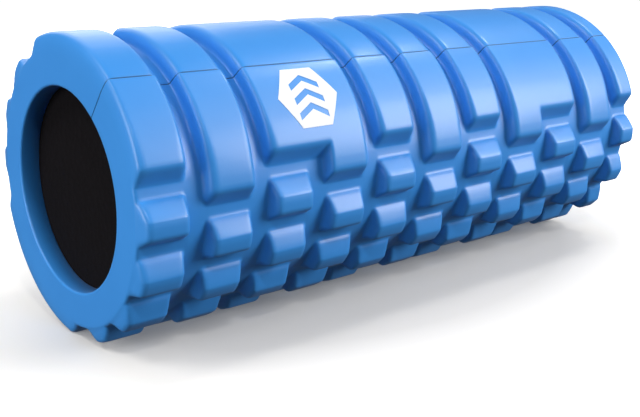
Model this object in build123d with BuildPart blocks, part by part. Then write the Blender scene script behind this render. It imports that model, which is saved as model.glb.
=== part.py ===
"""Textured foam roller: a moulded EVA sleeve wrapped and glued round a solid black foam core.

Millimetres. The roller's axis is X, Z is up, and the origin is on the axis at mid-length. Angles round
the roller are measured from the front (-Y) upwards over the top (+Z), so 180 is the back (+Y).
"""

import os
from math import cos, hypot, radians, sin, tan

from build123d import *

# Overall sizes
roller_length = 330.0
outer_radius = 67.5
lip_radius = 45.0
core_radius = 46.0
end_recess = 9.0
end_chamfer = 2.5

# Sleeve pattern: columns along the roller, rows round it
column_count = 11
column_pitch = 31.6
pattern_offset = 4.2
row_count = 16
relief = 6.3
band_width = 21.2
draft_angle = 14.0
end_slope = 5.4

# One massage block, at the front of an even column: angles of its edges round the roller
block_top_width = 18.8
ramp_foot_angle = 6.8
ramp_crest_angle = 0.2
land_end_angle = -6.3
block_foot_angle = -10.2

# Rows of an even column that hold blocks; the other rows are covered by two long bands
block_rows = (0, 1, 2, 3, 8, 9, 10)
band_row_spans = ((4, 7), (11, 15))
band_top_angle = -2.7
band_bottom_angle = -4.8
joined_columns = (2, 7)

# Joints and print
glue_film = 0.3
seam_angle = 51.5
seam_gap = 0.4
film_inset = 3.0
core_edge_radius = 1.5
emblem_size = 33.0
emblem_angle = 36.0
chevron_spacing = 7.0
chevron_reach = 8.0
chevron_rise = 4.5
chevron_stroke = 3.2
print_thickness = 0.2

row_angle = 360.0 / row_count
floor_radius = outer_radius - relief
core_length = roller_length - 2 * end_recess
sleeve_fuse_depth = 2.0
trim_margin = 0.5
draft_run = relief * tan(radians(draft_angle))


def column_centre(column):
    """X of a column's middle."""
    return pattern_offset + (column - column_count // 2) * column_pitch


def column_turn(column):
    """Odd columns sit half a row lower at the front."""
    return row_angle / 2 if column % 2 else 0.0


def band_limits(span):
    """Highest and lowest angle of a band's land in an even column, for its first and last row."""
    first, last = span
    return band_top_angle - first * row_angle, band_bottom_angle - last * row_angle


def on_section(radius, angle):
    """Y and Z of a point at this radius and angle."""
    return -radius * cos(radians(angle)), radius * sin(radians(angle))


def turned(angle_down):
    """A turn about the roller's axis that moves the front downwards."""
    return Location((0, 0, 0), (angle_down, 0, 0))


# A block is a frustum standing on the sleeve's floor, cut to the outer radius: a long ramp above,
# a short steep foot below and drafted sides.
block_middle_angle = (ramp_crest_angle + land_end_angle) / 2
block_plane = Plane(
    origin=(0, *on_section(floor_radius - sleeve_fuse_depth, block_middle_angle)),
    x_dir=(1, 0, 0),
    z_dir=(0, *on_section(1, block_middle_angle)),
)


def height_on_block(radius, angle):
    """A section point as its height up the block's plane and its distance out from it."""
    turn = radians(angle - block_middle_angle)
    return radius * sin(turn), radius * cos(turn) - floor_radius + sleeve_fuse_depth


def block_outline(distance_out):
    """Top and bottom of the frustum at a distance out of its plane, along its ramp and its foot."""
    ends = []
    for low, high in ((ramp_foot_angle, ramp_crest_angle), (block_foot_angle, land_end_angle)):
        y0, d0 = height_on_block(floor_radius, low)
        y1, d1 = height_on_block(outer_radius, high)
        ends.append(y0 + (y1 - y0) * (distance_out - d0) / (d1 - d0))
    return ends


frustum_height = relief + sleeve_fuse_depth + trim_margin
with BuildPart() as massage_block:
    for distance_out in (0.0, frustum_height):
        top, bottom = block_outline(distance_out)
        above_floor = distance_out - sleeve_fuse_depth
        width = block_top_width + 2 * draft_run * (relief - above_floor) / relief
        with BuildSketch(block_plane.offset(distance_out)):
            with Locations((0, (top + bottom) / 2)):
                Rectangle(width, top - bottom)
    loft()
    Cylinder(outer_radius, 3 * column_pitch, rotation=(0, 90, 0), mode=Mode.INTERSECT)


def band(left, right, top_angle, bottom_angle):
    """A band with drafted sides between two X places, its ends sloped down to the floor."""
    base = floor_radius - sleeve_fuse_depth
    spread = draft_run * (relief + sleeve_fuse_depth) / relief
    with BuildPart() as piece:
        with BuildSketch(Plane.XY):
            with BuildLine():
                Polyline(
                    (left - spread, -base),
                    (left, -outer_radius),
                    (right, -outer_radius),
                    (right + spread, -base),
                    close=True,
                )
            make_face()
        revolve(axis=Axis.X, revolution_arc=top_angle - bottom_angle + 2 * end_slope)
        end_edges = piece.edges().filter_by(Axis.X)
        chamfer(end_edges.filter_by(lambda e: hypot(e.center().Y, e.center().Z) > floor_radius), relief)
    return piece.part.moved(turned(-top_angle - end_slope))


def column_bands(column):
    """The two long bands of a column, with the bridge that joins some columns to their right neighbour."""
    middle = column_centre(column)
    pieces = []
    for span in band_row_spans:
        top, bottom = (angle - column_turn(column) for angle in band_limits(span))
        pieces.append(band(middle - band_width / 2, middle + band_width / 2, top, bottom))
        if column in joined_columns:
            next_top, next_bottom = (angle - column_turn(column + 1) for angle in band_limits(span))
            bridge_top, bridge_bottom = min(top, next_top), max(bottom, next_bottom)
            pieces.append(band(middle, middle + column_pitch, bridge_top, bridge_bottom))
    return pieces


def column_blocks(column):
    """Every massage block of a column."""
    turns = [row * row_angle + column_turn(column) for row in block_rows]
    return [
        massage_block.part.moved(Location((column_centre(column), 0, 0)) * turned(turn)) for turn in turns
    ]


# Sleeve: a tube with the pattern on it, trimmed by a barrel with chamfered rims, then bored for the
# core, past which its lips draw in a little, and slit along the butt joint of the moulded sheet
os.makedirs("parts", exist_ok=True)
pattern = [p for column in range(column_count) for p in column_bands(column) + column_blocks(column)]
seam_plane = Plane(origin=(0, 0, 0), x_dir=(1, 0, 0), z_dir=(0, *on_section(1, seam_angle - 90)))
with BuildPart() as foam_sleeve:
    Cylinder(floor_radius, roller_length, rotation=(0, 90, 0))
    add(pattern)
    with BuildSketch(Plane.XY) as barrel_section:
        with Locations((0, outer_radius / 2)):
            Rectangle(roller_length, outer_radius)
        chamfer(barrel_section.vertices().group_by(Axis.Y)[-1], end_chamfer)
    revolve(axis=Axis.X, mode=Mode.INTERSECT)
    Cylinder(lip_radius, roller_length, rotation=(0, 90, 0), mode=Mode.SUBTRACT)
    Cylinder(core_radius + glue_film, core_length, rotation=(0, 90, 0), mode=Mode.SUBTRACT)
    with BuildSketch(seam_plane):
        with Locations((0, outer_radius)):
            Rectangle(2 * roller_length, 2 * outer_radius)
    extrude(amount=seam_gap / 2, both=True, mode=Mode.SUBTRACT)
foam_sleeve.part.label = "foam_sleeve"
export_step(foam_sleeve.part, "parts/foam_sleeve.step")

# Core: a solid cylinder of rigid bead foam, set back from both ends of the sleeve
with BuildPart() as foam_core:
    Cylinder(core_radius, core_length, rotation=(0, 90, 0))
    fillet(foam_core.edges().filter_by(GeomType.CIRCLE), core_edge_radius)
foam_core.part.label = "foam_core"
export_step(foam_core.part, "parts/foam_core.step")

# Contact adhesive between the core and the sleeve
film_length = core_length - 2 * film_inset
with BuildPart() as core_adhesive:
    Cylinder(core_radius + glue_film, film_length, rotation=(0, 90, 0))
    Cylinder(core_radius, film_length, rotation=(0, 90, 0), mode=Mode.SUBTRACT)
core_adhesive.part.label = "core_adhesive"
export_step(core_adhesive.part, "parts/core_adhesive.step")

# Adhesive in the sleeve's butt joint, from the core's adhesive out to just under the pattern's floor
joint_depth = floor_radius - glue_film - (core_radius + glue_film)
with BuildPart() as seam_adhesive:
    with BuildSketch(seam_plane):
        with Locations((0, core_radius + glue_film + joint_depth / 2)):
            Rectangle(film_length, joint_depth)
    extrude(amount=seam_gap / 2, both=True)
seam_adhesive.part.label = "seam_adhesive"
export_step(seam_adhesive.part, "parts/seam_adhesive.step")

# Printed emblem: a hexagon with three chevrons left open, lying on the wide band
emblem_plane = Plane(
    origin=((column_centre(2) + column_centre(3)) / 2, 0, 0),
    x_dir=(1, 0, 0),
    z_dir=(0, *on_section(1, emblem_angle)),
)
print_shell = Cylinder(outer_radius + print_thickness, roller_length, rotation=(0, 90, 0))
print_shell -= Cylinder(outer_radius, roller_length, rotation=(0, 90, 0))
with BuildPart() as printed_emblem:
    with BuildSketch(emblem_plane):
        RegularPolygon(emblem_size / 2, 6)
        for step in (-1, 0, 1):
            peak = step * chevron_spacing + (chevron_rise + chevron_stroke) / 2
            with BuildLine():
                Polyline(
                    (-chevron_reach, peak - chevron_rise),
                    (0, peak),
                    (chevron_reach, peak - chevron_rise),
                    (chevron_reach, peak - chevron_rise - chevron_stroke),
                    (0, peak - chevron_stroke),
                    (-chevron_reach, peak - chevron_rise - chevron_stroke),
                    close=True,
                )
            make_face(mode=Mode.SUBTRACT)
    extrude(amount=outer_radius + relief)
    add(print_shell, mode=Mode.INTERSECT)
printed_emblem.part.label = "printed_emblem"
export_step(printed_emblem.part, "parts/printed_emblem.step")
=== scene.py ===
"""Looks for the textured foam roller: a finely moulded sleeve, its foam core, the printed mark and a studio.

Shapes are worked out in millimetres in the roller's own frame (X along its axis, Z up, origin at
mid-length) and written to the meshes in metres. Angles round the roller are in degrees, measured from
the front (-Y) upwards over the top.
"""

from math import cos, radians, sin, tan

import bmesh
import bpy
import numpy as np
from mathutils import Matrix, Vector


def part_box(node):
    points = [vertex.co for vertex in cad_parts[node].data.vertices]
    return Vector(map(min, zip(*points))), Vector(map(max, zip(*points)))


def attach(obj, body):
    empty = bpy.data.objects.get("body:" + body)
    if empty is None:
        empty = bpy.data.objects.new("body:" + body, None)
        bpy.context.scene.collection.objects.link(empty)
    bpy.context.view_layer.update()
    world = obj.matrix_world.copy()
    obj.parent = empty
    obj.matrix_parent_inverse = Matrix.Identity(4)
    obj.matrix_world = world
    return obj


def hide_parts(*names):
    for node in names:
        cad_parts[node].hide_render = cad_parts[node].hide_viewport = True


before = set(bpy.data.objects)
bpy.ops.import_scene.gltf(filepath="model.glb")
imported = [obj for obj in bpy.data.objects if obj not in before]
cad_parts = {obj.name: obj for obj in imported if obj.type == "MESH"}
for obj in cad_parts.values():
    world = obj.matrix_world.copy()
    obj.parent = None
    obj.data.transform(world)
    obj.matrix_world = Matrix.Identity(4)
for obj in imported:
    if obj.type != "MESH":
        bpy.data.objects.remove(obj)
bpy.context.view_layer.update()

MM = 0.001

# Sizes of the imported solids
sleeve_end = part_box("foam_sleeve")[1].x / MM
core_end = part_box("foam_core")[1].x / MM
core_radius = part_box("foam_core")[1].z / MM

# Sizes that the boxes don't give, as in the solids
lip_radius = 45.0
outer_radius = 67.5

# The sleeve's pattern, as in the solids
column_count = 11
column_pitch = 31.6
pattern_offset = 4.2
row_count = 16
row_angle = 360.0 / row_count
relief = 6.3
floor_radius = outer_radius - relief
band_half_width = 10.6
block_half_width = 9.4
flank_slope = tan(radians(14.0))
end_slope = 5.4
ramp_foot, ramp_crest, land_end, block_foot = 6.8, 0.2, -6.3, -10.2
band_top, band_bottom = -2.7, -4.8
block_rows = (0, 1, 2, 3, 8, 9, 10)
band_spans = ((4, 7), (11, 15))
joined_columns = (2, 7)
seam_angle = 51.5

# Moulded radii and small steps, by how far each reaches from its edge
ramp_riser = 1.1
riser_lean = 0.5
riser_round = 0.4
crest_round = 0.7
foot_round = 1.3
block_side_round = 2.0
band_end_round = 1.2
band_round_soft = 3.0
band_round_crisp = 1.0
crisp_span = 34.0
plan_round = 1.4
floor_fillet = 0.8
rim_round = 1.6
lip_round = 0.9

# The fine groove along the sleeve's butt joint
seam_depth = 0.4
seam_width = 0.17

# Extra mesh rings on the end faces and the lips, which keep their flat stretches flat when shaded
rim_ring_in = 0.25
face_ring_share = 0.55
lip_ring_out = 0.4
lip_wall_ring = 1.6

# How far the pattern's mesh lines stay from the rims' lines, in millimetres, and the joint, in degrees
rim_line_gap = 0.4
seam_line_gap = 0.85

# Heights that the moulded surface lies between, and steps that find it to well under a micrometre
lowest_height = -1.5 * rim_round
highest_height = relief + 0.5
halvings = 26

# The core's rounded edges, and how far its surface stays inside the solid
core_edge_round = 1.2
core_clearance = 0.15

# The core's mesh: points on a ring, rings on an end face and the innermost ring's radius
core_steps = 96
core_face_rings = 24
core_hub_radius = 0.6

# The studio, in metres
floor_reach = 6.0
wall_radius = 5.5
light_distance = 1.6

mm_per_degree = radians(1.0) * (floor_radius + relief / 2)


def column_centre(column):
    """X of a column's middle."""
    return pattern_offset + (column - column_count // 2) * column_pitch


def column_turn(column):
    """Odd columns sit half a row lower at the front."""
    return row_angle / 2 if column % 2 else 0.0


def wrapped(angle):
    """An angle brought to between -180 and 180."""
    return (angle + 180.0) % 360.0 - 180.0


def rounded_max(a, b, reach):
    """The larger of two distances, with their corner rounded off over this reach."""
    gap = np.maximum(reach - np.abs(a - b), 0.0)
    return np.maximum(a, b) + gap * gap / (4.0 * reach)


def rounded_min(a, b, reach):
    """The smaller of two distances, with their hollow filled over this reach."""
    gap = np.maximum(reach - np.abs(a - b), 0.0)
    return np.minimum(a, b) - gap * gap / (4.0 * reach)


def beyond_slope(along, height, foot, crest, base=0.0):
    """How far a point lies outside a slope that climbs from its foot, at the base height, to its crest."""
    run = crest - foot
    rise = relief - base
    place = foot + run * (height - base) / rise
    outward = 1.0 if crest < foot else -1.0
    return outward * (along - place) * rise / np.hypot(rise, run)


def beyond_flank(offset, height, half_width):
    """How far a point lies outside a drafted flank, for its offset from the middle."""
    reach = half_width + (relief - height) * flank_slope
    return (offset - reach) / np.hypot(1.0, flank_slope)


def block_distance(column, offset, angle, height):
    """Distance outside a column's nearest massage block."""
    down = angle + column_turn(column)
    middle = (ramp_foot + block_foot) / 2
    row = np.rint((middle - down) / row_angle)
    along = (down + row * row_angle) * mm_per_degree
    foot, crest, edge, end = (a * mm_per_degree for a in (ramp_foot, ramp_crest, land_end, block_foot))
    ramp = beyond_slope(along, height, foot, crest, ramp_riser)
    riser = beyond_slope(along, height, foot + riser_lean, foot - riser_lean * relief)
    under = beyond_slope(along, height, end, edge)
    lengthways = rounded_max(ramp, height - relief, crest_round)
    lengthways = rounded_max(lengthways, riser, riser_round)
    lengthways = rounded_max(lengthways, under, foot_round)
    shape = rounded_max(lengthways, beyond_flank(np.abs(offset), height, block_half_width), block_side_round)
    return np.where(np.isin(row % row_count, block_rows), shape, np.inf)


def band_ends(column, span, angle, height):
    """Distances beyond the upper and the lower end of one of a column's bands."""
    first, last = span
    top = band_top - first * row_angle - column_turn(column)
    bottom = band_bottom - last * row_angle - column_turn(column)
    half = (top - bottom) / 2 * mm_per_degree
    along = wrapped(angle - (top + bottom) / 2) * mm_per_degree
    slope = end_slope * mm_per_degree
    return (
        beyond_slope(along, height, half + slope, half),
        beyond_slope(along, height, -half - slope, -half),
    )


def band_edge_reach(angle):
    """Rounding along the bands' edges: crisp just below the sleeve's seam, soft above it."""
    below_seam = wrapped(seam_angle - angle)
    fade = np.clip(below_seam / crisp_span, 0.0, 1.0)
    crisp = band_round_crisp + (band_round_soft - band_round_crisp) * fade * fade
    return np.where(below_seam > 0, crisp, band_round_soft)


def band_distance(column, span, offset, angle, height):
    """Distance outside a column's band, or outside the wide band that it is half of."""
    over, under = band_ends(column, span, angle, height)
    left, right = (beyond_flank(side * offset, height, band_half_width) for side in (-1, 1))
    for partner, side in ((column + 1, 1), (column - 1, -1)):
        if min(column, partner) not in joined_columns:
            continue
        across = offset - side * column_pitch
        partner_over, partner_under = band_ends(partner, span, angle, height)
        own_side = right if side > 0 else left
        partner_side = beyond_flank(-side * across, height, band_half_width)
        if column_turn(column):
            under = rounded_min(partner_under, rounded_max(under, own_side, plan_round), plan_round)
            over = rounded_min(over, rounded_max(partner_over, partner_side, plan_round), plan_round)
        else:
            over = rounded_min(partner_over, rounded_max(over, own_side, plan_round), plan_round)
            under = rounded_min(under, rounded_max(partner_under, partner_side, plan_round), plan_round)
        far_side = beyond_flank(side * across, height, band_half_width)
        left, right = (left, far_side) if side > 0 else (far_side, right)
    lid = rounded_max(rounded_max(over, under, plan_round), height - relief, band_end_round)
    return rounded_max(lid, np.maximum(left, right), band_edge_reach(angle))


def sleeve_distance(column, x, angle, height):
    """Distance outside the sleeve's moulded surface near a column."""
    offset = x - column_centre(column)
    shape = block_distance(column, offset, angle, height)
    for span in band_spans:
        shape = np.minimum(shape, band_distance(column, span, offset, angle, height))
    surface = rounded_min(shape, height, floor_fillet)
    return rounded_max(surface, np.abs(x) - sleeve_end, rim_round)


def sleeve_height(column, x, angle):
    """Height of the moulded surface over the floor, found by halving the span that must hold it."""
    x, angle = np.meshgrid(x, angle, indexing="ij")
    low, high = np.full(x.shape, lowest_height), np.full(x.shape, highest_height)
    for _ in range(halvings):
        height = (low + high) / 2
        inside = sleeve_distance(column, x, angle, height) < 0
        low, high = np.where(inside, height, low), np.where(inside, high, height)
    return low - seam_groove(angle)


def seam_groove(angle):
    """Depth of the fine groove along the sleeve's butt joint."""
    return seam_depth * np.exp(-((wrapped(angle - seam_angle) * mm_per_degree / seam_width) ** 2))


def sleeve_lines():
    """X places of the sleeve's mesh lines for each column, close together on the flanks and the rims."""
    half = np.array([0.0, 6.8, 8.2, 9.0, 9.6, 10.1, 10.6, 11.1, 11.6, 12.1, 12.8])
    offsets = np.concatenate([-half[:0:-1], half, [column_pitch / 2]])
    rim = sleeve_end - np.array([1.9, 1.3, 0.8, 0.42, 0.16, 0.03, 0.0])
    lines = []
    for column in range(column_count):
        x = column_centre(column) + offsets
        if column == column_count - 1:
            x = np.concatenate([x[x < rim[0] - rim_line_gap], rim])
        if column == 0:
            x = np.concatenate([-rim[::-1], x[x > -rim[0] + rim_line_gap]])
        lines.append(x)
    return lines


def sleeve_angles():
    """Angles of the sleeve's mesh lines, close together at the blocks' and bands' edges and the seam."""
    half_row = np.array([0.0, 0.45, 1.05, 2.6, 4.4, 5.0, 5.8, 6.4, 6.85, 7.4, 8.7])
    angles = (half_row + np.arange(2 * row_count)[:, None] * row_angle / 2).ravel()
    seam = seam_angle + np.array([-0.6, -0.26, 0.0, 0.26, 0.6])
    far = np.abs(angles - seam_angle) > seam_line_gap
    return np.sort(np.concatenate([angles[far], seam]))


def ring_points(x, radius, angles):
    """Points in metres on rings round the axis: x and radius are arrays of ring by angle."""
    turn = np.radians(angles)
    return np.stack([x, -radius * np.cos(turn), radius * np.sin(turn)], axis=-1).reshape(-1, 3) * MM


def ring_faces(rings, steps, spans):
    """Quads between each ring and the next one, for this many spans from the first ring on."""
    ring, step = np.meshgrid(np.arange(spans), np.arange(steps), indexing="ij")
    next_ring, next_step = (ring + 1) % rings, (step + 1) % steps
    corners = [(ring, step), (ring, next_step), (next_ring, next_step), (next_ring, step)]
    return np.stack([r * steps + s for r, s in corners], axis=-1).reshape(-1, 4).tolist()


def mesh_object(name, points, faces):
    """A smooth-shaded object of these points and faces."""
    mesh = bpy.data.meshes.new(name)
    mesh.from_pydata(points, [], faces)
    mesh.validate()
    mesh.shade_smooth()
    thing = bpy.data.objects.new(name, mesh)
    bpy.context.scene.collection.objects.link(thing)
    return thing


def make_sleeve():
    """The moulded sleeve: its pattern, rounded rims, end faces, lips and the bore round the core."""
    angles = sleeve_angles()
    lines = sleeve_lines()
    height = np.concatenate([sleeve_height(column, x, angles) for column, x in enumerate(lines)])
    x = np.concatenate(lines)[:, None] + 0 * angles
    outside = floor_radius + height

    def end_rings(side, rim):
        """Rings from the rim across an end face, round the lip and down its wall to the core."""
        inner = lip_radius + lip_round
        middle = inner + face_ring_share * (rim - inner)
        rings = [(sleeve_end, radius) for radius in (rim - rim_ring_in, middle, inner + lip_ring_out)]
        for turn in (0.0, 30.0, 60.0, 90.0):
            back, down = lip_round * (1 - cos(radians(turn))), lip_round * sin(radians(turn))
            rings.append((sleeve_end - back, inner - down))
        rings += [(sleeve_end - lip_wall_ring, lip_radius), (core_end, lip_radius), (core_end, core_radius)]
        return [(side * (place - seam_groove(angles)), radius + 0 * angles) for place, radius in rings]

    right = end_rings(1, outside[-1])
    left = end_rings(-1, outside[0])[::-1]
    x = np.concatenate([x, [place for place, _ in right + left]])
    radius = np.concatenate([outside, [radius for _, radius in right + left]])
    rings, steps = radius.shape
    points = ring_points(x, radius, angles)
    return mesh_object("moulded_sleeve", points.tolist(), ring_faces(rings, steps, rings))


def make_core():
    """The bead-foam core: a solid cylinder with rounded edges and a fine mesh on its ends."""
    end, wall = core_end - core_clearance, core_radius - core_clearance
    flat = wall - core_edge_round
    profile = [(end, radius) for radius in np.linspace(core_hub_radius, flat, core_face_rings)]
    for turn in (22.5, 45, 67.5, 90):
        back, out = core_edge_round * (1 - cos(radians(turn))), core_edge_round * sin(radians(turn))
        profile.append((end - back, flat + out))
    rings = np.array(profile + [(-place, radius) for place, radius in profile[::-1]])
    angles = np.arange(core_steps) * 360.0 / core_steps
    x, radius = (column[:, None] + 0 * angles for column in rings.T)
    points = ring_points(x, radius, angles).tolist()
    points += [(end * MM, 0.0, 0.0), (-end * MM, 0.0, 0.0)]
    count = len(rings)
    faces = [face[::-1] for face in ring_faces(count, core_steps, count - 1)]
    right_hub, last = count * core_steps, (count - 1) * core_steps
    for step in range(core_steps):
        after = (step + 1) % core_steps
        faces.append((right_hub, step, after))
        faces.append((right_hub + 1, last + after, last + step))
    return mesh_object("bead_foam_core", points, faces)


def new_material(name, colour, roughness, specular=0.5):
    """A principled material, with its node tree and shader."""
    material = bpy.data.materials.new(name)
    material.use_nodes = True
    shader = material.node_tree.nodes["Principled BSDF"]
    shader.inputs["Base Color"].default_value = (*colour, 1.0)
    shader.inputs["Roughness"].default_value = roughness
    shader.inputs["Specular IOR Level"].default_value = specular
    return material, material.node_tree, shader


def noise(tree, scale, detail, kind="ShaderNodeTexNoise"):
    """A noise or cell texture in object coordinates, with this many waves per metre."""
    place = tree.nodes.new("ShaderNodeTexCoord")
    texture = tree.nodes.new(kind)
    texture.inputs["Scale"].default_value = scale
    texture.inputs["Detail"].default_value = detail
    tree.links.new(place.outputs["Object"], texture.inputs["Vector"])
    return texture


def ramp_between(tree, value, low, high):
    """A colour ramp between two (position, colour) stops."""
    ramp = tree.nodes.new("ShaderNodeValToRGB")
    for stop, (position, colour) in zip(ramp.color_ramp.elements, (low, high)):
        stop.position = position
        stop.color = (*colour, 1.0)
    tree.links.new(value, ramp.inputs["Fac"])
    return ramp.outputs["Color"]


def add_bump(tree, shader, value, strength, distance):
    """Fine relief from a texture, on top of any relief already there."""
    bump = tree.nodes.new("ShaderNodeBump")
    bump.inputs["Strength"].default_value = strength
    bump.inputs["Distance"].default_value = distance
    tree.links.new(value, bump.inputs["Height"])
    if shader.inputs["Normal"].links:
        tree.links.new(shader.inputs["Normal"].links[0].from_socket, bump.inputs["Normal"])
    tree.links.new(bump.outputs["Normal"], shader.inputs["Normal"])


def dot_with(tree, direction):
    """The object position's distance along a direction, in metres."""
    place = tree.nodes.new("ShaderNodeTexCoord")
    along = tree.nodes.new("ShaderNodeVectorMath")
    along.operation = "DOT_PRODUCT"
    along.inputs[1].default_value = direction
    tree.links.new(place.outputs["Object"], along.inputs[0])
    return along.outputs["Value"]


def math_node(tree, operation, first, second):
    """A maths node on a socket and a number or a second socket."""
    node = tree.nodes.new("ShaderNodeMath")
    node.operation = operation
    tree.links.new(first, node.inputs[0])
    if isinstance(second, float):
        node.inputs[1].default_value = second
    else:
        tree.links.new(second, node.inputs[1])
    return node.outputs["Value"]


def painted_seam_shade(tree):
    """White everywhere but along the sleeve's butt joint, where a dark line of painted shade stands for its
    slit.
    """
    turn = radians(seam_angle)
    across = math_node(tree, "ABSOLUTE", dot_with(tree, (0.0, sin(turn), cos(turn))), 0.0)
    millimetres = math_node(tree, "MULTIPLY", across, 1.0 / MM)
    painted_shade_line = ramp_between(tree, millimetres, (0.12, (0.22, 0.22, 0.22)), (0.40, (1.0, 1.0, 1.0)))
    far_side = math_node(tree, "LESS_THAN", dot_with(tree, (0.0, -cos(turn), sin(turn))), 0.0)
    return math_node(tree, "MAXIMUM", painted_shade_line, far_side)


def sleeve_foam():
    """Satin moulded EVA: even blue with slight clouding, a fine skin grain, a soft warm sheen and painted
    shade at the joint.
    """
    material, tree, shader = new_material("sleeve_foam", (0.040, 0.30, 0.81), 0.44, 0.5)
    shader.inputs["Specular Tint"].default_value = (1.0, 0.88, 0.86, 1.0)
    shader.inputs["Sheen Weight"].default_value = 0.05
    shader.inputs["Sheen Roughness"].default_value = 0.45
    shader.inputs["Sheen Tint"].default_value = (1.0, 0.75, 0.75, 1.0)
    shader.inputs["Coat Weight"].default_value = 0.2
    shader.inputs["Coat Roughness"].default_value = 0.22
    clouds = noise(tree, 28.0, 3.0)
    colour = ramp_between(
        tree, clouds.outputs["Fac"], (0.3, (0.037, 0.29, 0.79)), (0.7, (0.043, 0.31, 0.83))
    )
    # Painted shade: the joint's line is darkened in colour and its specular level lowered, standing for
    # shade in its narrow slit.
    shade = painted_seam_shade(tree)
    shaded = tree.nodes.new("ShaderNodeVectorMath")
    shaded.operation = "MULTIPLY"
    tree.links.new(colour, shaded.inputs[0])
    tree.links.new(shade, shaded.inputs[1])
    tree.links.new(shaded.outputs["Vector"], shader.inputs["Base Color"])
    tree.links.new(math_node(tree, "MULTIPLY", shade, 0.5), shader.inputs["Specular IOR Level"])
    grain = noise(tree, 1800.0, 2.0)
    add_bump(tree, shader, grain.outputs["Fac"], 0.12, 0.00012)
    return material


def core_foam():
    """Matt black bead foam: faint bead cells under a fine grain."""
    material, tree, shader = new_material("core_foam", (0.004, 0.003, 0.004), 0.9, 0.12)
    beads = noise(tree, 260.0, 0.0, "ShaderNodeTexVoronoi")
    add_bump(tree, shader, beads.outputs["Distance"], 0.35, 0.0006)
    grain = noise(tree, 1500.0, 3.0)
    colour = ramp_between(
        tree, grain.outputs["Fac"], (0.35, (0.003, 0.0025, 0.003)), (0.75, (0.008, 0.006, 0.008))
    )
    tree.links.new(colour, shader.inputs["Base Color"])
    add_bump(tree, shader, grain.outputs["Fac"], 0.3, 0.0003)
    return material


def print_ink():
    """Flat white ink, a little uneven where the foam's grain shows through."""
    material, tree, shader = new_material("print_ink", (0.9, 0.93, 0.97), 0.5)
    grain = noise(tree, 900.0, 3.0)
    colour = ramp_between(
        tree, grain.outputs["Fac"], (0.3, (0.86, 0.90, 0.96)), (0.6, (0.93, 0.95, 0.98))
    )
    tree.links.new(colour, shader.inputs["Base Color"])
    return material


def cured_adhesive():
    """Clear-blue cured contact adhesive."""
    material, tree, shader = new_material("cured_adhesive", (0.03, 0.12, 0.3), 0.3)
    ripple = noise(tree, 400.0, 2.0)
    colour = ramp_between(
        tree, ripple.outputs["Fac"], (0.3, (0.025, 0.10, 0.26)), (0.7, (0.035, 0.14, 0.34))
    )
    tree.links.new(colour, shader.inputs["Base Color"])
    return material


def dress(thing, material):
    """Gives an object this one material."""
    thing.data.materials.clear()
    thing.data.materials.append(material)


def floor_material():
    """Pale studio paper: glows nearly white far off, and faintly by the roller as a light painted shadow."""
    material, tree, shader = new_material("pale_floor", (0.72, 0.70, 0.67), 0.8, 0.1)
    place = tree.nodes.new("ShaderNodeTexCoord")
    squeeze = tree.nodes.new("ShaderNodeMapping")
    squeeze.inputs["Scale"].default_value = (0.6, 1.0, 0.0)
    tree.links.new(place.outputs["Object"], squeeze.inputs["Vector"])
    distance = tree.nodes.new("ShaderNodeVectorMath")
    distance.operation = "LENGTH"
    tree.links.new(squeeze.outputs["Vector"], distance.inputs[0])
    # Painted shadow: the floor glows less near the roller, which darkens it there under any lamp.
    painted_shadow_glow = ramp_between(tree, distance.outputs["Value"], (0.09, (0.1, 0.1, 0.1)), (0.19, (0.92, 0.92, 0.92)))
    tree.links.new(painted_shadow_glow, shader.inputs["Emission Color"])
    shader.inputs["Emission Strength"].default_value = 1.0
    return material


def stage_piece(thing, material):
    """A piece of the studio: seen and shaded, but giving no light back to the roller."""
    thing.visible_diffuse = False
    thing.visible_glossy = False
    dress(thing, material)


def make_floor():
    """A plain pale floor under the roller."""
    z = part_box("foam_sleeve")[0].z
    signs = ((-1, -1), (1, -1), (1, 1), (-1, 1))
    corners = [(across * floor_reach, along * floor_reach, z) for across, along in signs]
    stage_piece(mesh_object("floor", corners, [(0, 1, 2, 3)]), floor_material())


def make_backdrop():
    """A glowing white studio wall all round, well behind the lights, that casts no shadow."""
    material, _, shader = new_material("white_wall", (0.0, 0.0, 0.0), 1.0, 0.0)
    shader.inputs["Emission Color"].default_value = (1.0, 1.0, 1.0, 1.0)
    shader.inputs["Emission Strength"].default_value = 0.95
    shape = bmesh.new()
    bmesh.ops.create_icosphere(shape, subdivisions=4, radius=wall_radius)
    mesh = bpy.data.meshes.new("backdrop")
    shape.to_mesh(mesh)
    shape.free()
    wall = bpy.data.objects.new("backdrop", mesh)
    bpy.context.scene.collection.objects.link(wall)
    wall.visible_shadow = False
    stage_piece(wall, material)


def make_light(name, direction, size, power):
    """A round white area light in this direction from the roller, facing it."""
    light = bpy.data.lights.new(name, "AREA")
    light.shape = "DISK"
    light.size = size
    light.energy = power
    lamp = bpy.data.objects.new(name, light)
    away = Vector(direction).normalized()
    lamp.location = away * light_distance
    lamp.rotation_euler = away.to_track_quat("Z", "Y").to_euler()
    bpy.context.scene.collection.objects.link(lamp)


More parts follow.
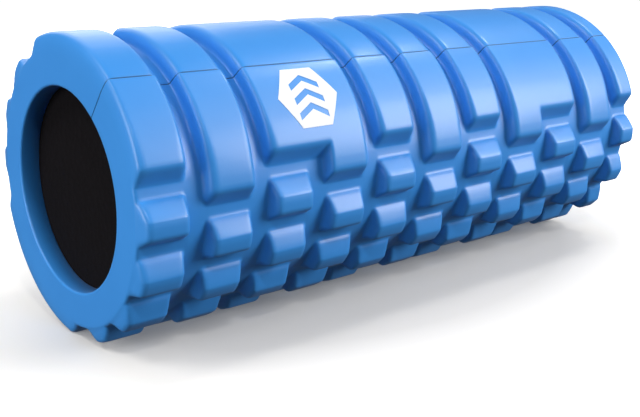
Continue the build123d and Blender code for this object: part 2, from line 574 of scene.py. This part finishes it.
def make_world():
    """An even, weak white light from all round."""
    world = bpy.data.worlds.new("studio")
    world.use_nodes = True
    background = world.node_tree.nodes["Background"]
    background.inputs["Color"].default_value = (1.0, 1.0, 1.0, 1.0)
    background.inputs["Strength"].default_value = 0.08
    bpy.context.scene.world = world


def make_camera():
    """The camera: three-quarter view of the left end, a little above the axis and slightly rolled."""
    azimuth, elevation, roll = radians(-40.33), radians(15.44), radians(0.65)
    distance = 0.5121
    target = Vector((-0.0209, 0.0, -0.0323))
    back = Vector((sin(azimuth) * cos(elevation), -cos(azimuth) * cos(elevation), sin(elevation)))
    right = (-back).cross(Vector((0, 0, 1))).normalized()
    up = right.cross(-back)
    across = cos(roll) * right + sin(roll) * up
    upward = -sin(roll) * right + cos(roll) * up
    camera = bpy.data.cameras.new("camera")
    camera.lens = 54.16
    camera.clip_start = 0.01
    lens = bpy.data.objects.new("camera", camera)
    turn = Matrix((across, upward, back)).transposed()
    lens.matrix_world = Matrix.Translation(target + distance * back) @ turn.to_4x4()
    bpy.context.scene.collection.objects.link(lens)
    bpy.context.scene.camera = lens


bpy.context.scene.view_settings.view_transform = "Standard"
make_camera()
make_world()
make_floor()
make_backdrop()
make_light("key", (0.66, -0.66, 0.34), 0.8, 17.5)
make_light("key high", (0.60, -0.45, 0.65), 0.8, 3.0)
make_light("glint right", (0.62, 0.0, 0.78), 0.16, 4.0)
make_light("glint left", (-0.35, -0.62, 0.70), 0.12, 4.0)
make_light("left fill", (-1.0, 0.05, 0.20), 0.9, 14.0)
make_light("left high", (-0.60, 0.05, 0.80), 0.6, 8.0)
make_light("right soft", (0.62, -0.55, 0.55), 1.3, 3.5)
make_light("back", (0.15, 0.9, 0.6), 1.4, 7.5)
make_light("back low", (0.45, 1.0, 0.15), 1.2, 5.0)

sleeve = make_sleeve()
dress(sleeve, sleeve_foam())
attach(sleeve, "root")
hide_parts("foam_sleeve")

core = make_core()
dress(core, core_foam())
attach(core, "root")
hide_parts("foam_core")

dress(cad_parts["printed_emblem"], print_ink())
adhesive = cured_adhesive()
for node in ("core_adhesive", "seam_adhesive"):
    dress(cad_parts[node], adhesive)
